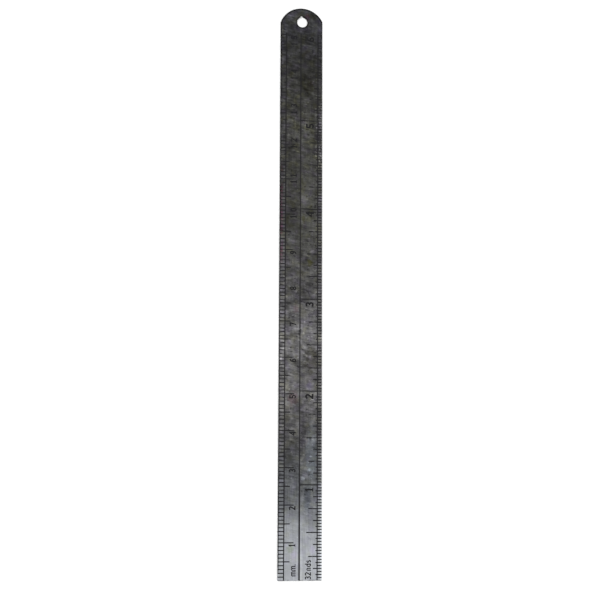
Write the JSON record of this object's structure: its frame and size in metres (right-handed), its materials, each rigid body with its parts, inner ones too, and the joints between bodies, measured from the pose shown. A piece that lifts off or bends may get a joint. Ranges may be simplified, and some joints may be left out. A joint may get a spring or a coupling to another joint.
{
  "type": "steel rule",
  "caption": "Narrow pocket steel rule with a round end and a hanging hole, etched and black-filled with a millimetre scale on one edge and an inch scale in thirty-seconds on the other.",
  "frame": {"origin": "on the underside of the blade, on its centreline, at the zero end", "axes": "+Y along the scales from the zero end to the hanging hole, so that Y is the reading; +X towards the inch edge; +Z out of the graduated face"},
  "size_m": [0.012, 0.16, 0.0005],
  "materials": {
    "worn_steel": "old ground steel, bright and scratched near the zero end and tarnished dark grey towards the round end",
    "black_filling": "matt black enamel, worn thin in places"
  },
  "bodies": {
    "root": {"blade": "worn_steel", "centre_line": "black_filling", "mm_border_line": "black_filling", "mm_lines": "black_filling", "half_centimetre_lines": "black_filling", "centimetre_lines": "black_filling", "centimetre_numerals": "black_filling", "mm_mark": "black_filling", "inch_border_line": "black_filling", "thirty_second_lines": "black_filling", "sixteenth_lines": "black_filling", "eighth_lines": "black_filling", "quarter_lines": "black_filling", "half_inch_lines": "black_filling", "inch_lines": "black_filling", "inch_numerals": "black_filling", "thirty_seconds_mark": "black_filling"}
  },
  "joints": []
}
